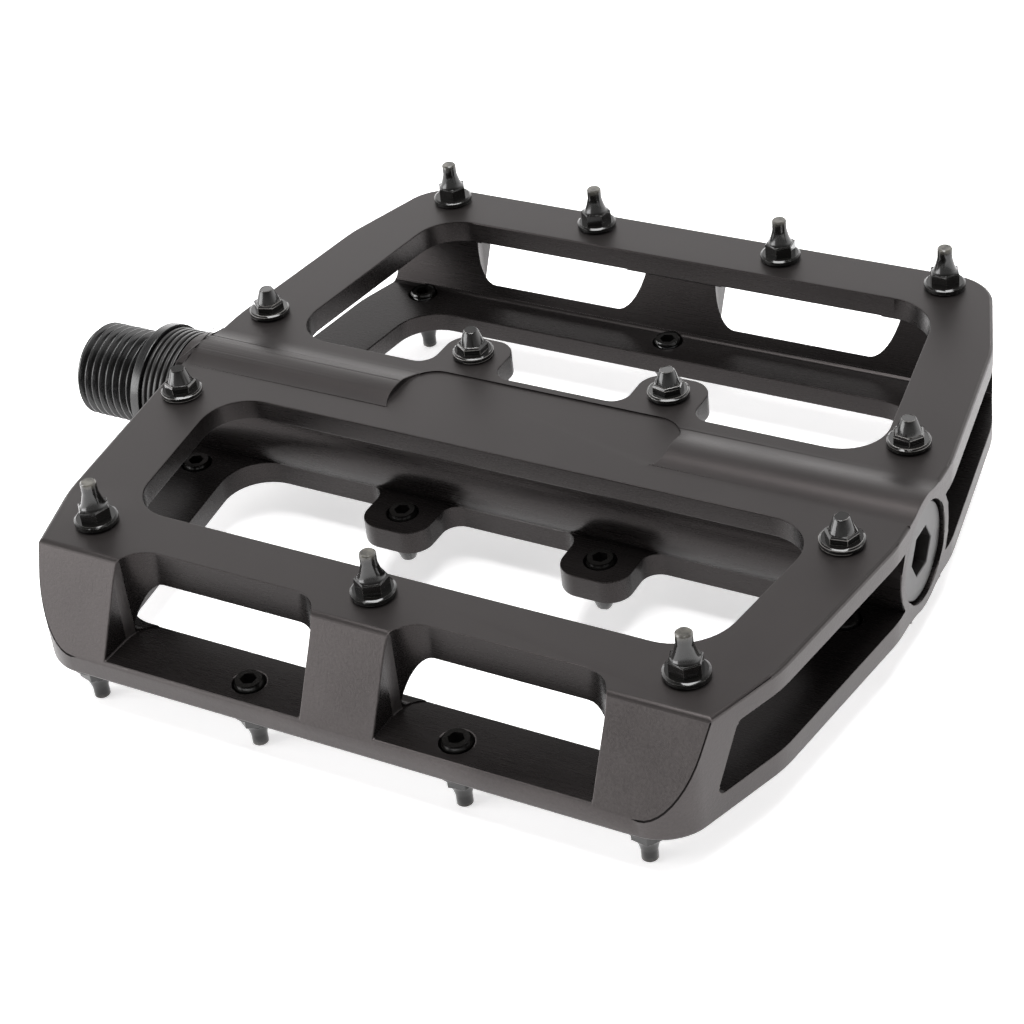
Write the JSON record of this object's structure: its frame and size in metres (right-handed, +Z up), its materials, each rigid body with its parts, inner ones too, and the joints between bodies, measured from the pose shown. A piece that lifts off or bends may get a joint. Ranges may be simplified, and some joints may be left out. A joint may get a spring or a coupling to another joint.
{
  "type": "flat bicycle pedal",
  "caption": "Flat bicycle pedal: open machined platform with screw-in traction pins on both faces, turning on a threaded spindle with a bush and a ball bearing.",
  "frame": {"origin": "on the axle's axis, in the plane where the spindle's shoulder flange meets the crank", "axes": "+X along the axle from the crank to the outboard end, +Y towards the rear edge, +Z up out of the upper plate"},
  "size_m": [0.1332, 0.1104, 0.029],
  "materials": {
    "platform": "black anodised, satin, fine machining lines",
    "pin": "black oxide, oiled, worn at the tips",
    "spindle": "black phosphated steel, cut thread",
    "ribbed_ring": "black anodised, turned grooves",
    "bush": "plain bearing bronze",
    "seal": "matt black rubber",
    "bearing_steel": "ground bearing steel",
    "bearing_cage": "pressed brass",
    "nut_steel": "plain steel",
    "cap": "black anodised, turned",
    "o_ring": "matt black rubber"
  },
  "bodies": {
    "spindle_assembly": {"spindle": "spindle", "bearing_inner_ring": "bearing_steel", "lock_washer": "nut_steel", "lock_nut": "nut_steel"},
    "platform": {"platform_body": "platform", "pin_upper_tall_01": "pin", "pin_upper_tall_02": "pin", "pin_upper_tall_03": "pin", "pin_upper_tall_04": "pin", "pin_upper_tall_05": "pin", "pin_upper_tall_06": "pin", "pin_upper_tall_07": "pin", "pin_upper_short_08": "pin", "pin_upper_short_09": "pin", "pin_upper_short_10": "pin", "pin_upper_short_11": "pin", "pin_upper_short_12": "pin", "pin_upper_short_13": "pin", "pin_lower_tall_01": "pin", "pin_lower_tall_02": "pin", "pin_lower_tall_03": "pin", "pin_lower_tall_04": "pin", "pin_lower_tall_05": "pin", "pin_lower_tall_06": "pin", "pin_lower_tall_07": "pin", "pin_lower_short_08": "pin", "pin_lower_short_09": "pin", "pin_lower_short_10": "pin", "pin_lower_short_11": "pin", "pin_lower_short_12": "pin", "pin_lower_short_13": "pin", "ribbed_ring": "ribbed_ring", "bush": "bush", "lip_seal": "seal", "bearing_outer_ring": "bearing_steel", "bearing_shield_inboard": "bearing_steel", "bearing_shield_outboard": "bearing_steel", "end_cap": "cap", "cap_o_ring": "o_ring"},
    "ball_set": {"bearing_cage": "bearing_cage", "bearing_ball_1": "bearing_steel", "bearing_ball_2": "bearing_steel", "bearing_ball_3": "bearing_steel", "bearing_ball_4": "bearing_steel", "bearing_ball_5": "bearing_steel", "bearing_ball_6": "bearing_steel", "bearing_ball_7": "bearing_steel"}
  },
  "joints": [
    {"name": "platform_spin", "type": "hinge", "parent": "spindle_assembly", "child": "platform", "pos_m": [0, 0, 0], "axis": [1, 0, 0], "continuous": true},
    {"name": "ball_set_spin", "type": "hinge", "parent": "spindle_assembly", "child": "ball_set", "pos_m": [0, 0, 0], "axis": [1, 0, 0], "continuous": true}
  ],
  "couplings": [
    {"joint": "ball_set_spin", "follows": "platform_spin", "ratio": 0.603}
  ]
}
